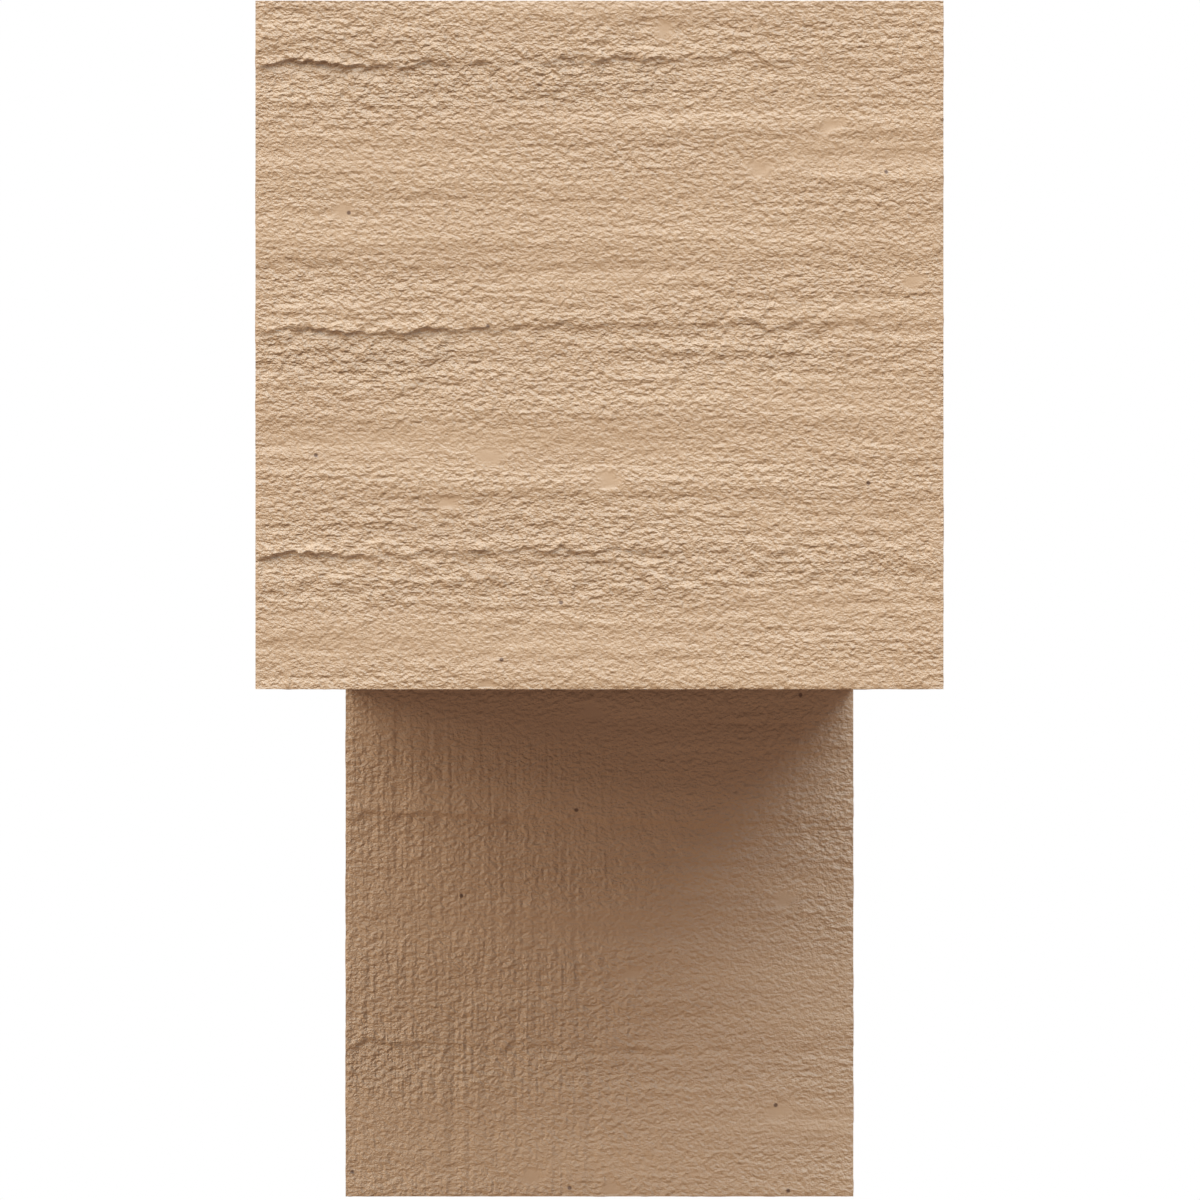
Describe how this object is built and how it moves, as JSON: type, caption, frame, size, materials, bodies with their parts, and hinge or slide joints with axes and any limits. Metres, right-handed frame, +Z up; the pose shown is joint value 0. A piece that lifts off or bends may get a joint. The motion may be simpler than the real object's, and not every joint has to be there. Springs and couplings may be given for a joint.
{
  "type": "urethane corbel",
  "caption": "Wall corbel moulded in urethane as rough-sawn timber: a wide end block on a narrower arm, with a leg down the wall, to dress or carry the end of a beam or eave.",
  "frame": {"origin": "centre of the flat wall face at the back", "axes": "+Z up, +Y into the wall, so the front looks along -Y, and +X to the right as seen from the front"},
  "size_m": [0.2032, 0.3556, 0.3556],
  "materials": {
    "stained_urethane": "matte tan factory finish over moulded rough-sawn grain"
  },
  "bodies": {
    "root": {"corbel": "stained_urethane"}
  },
  "joints": []
}
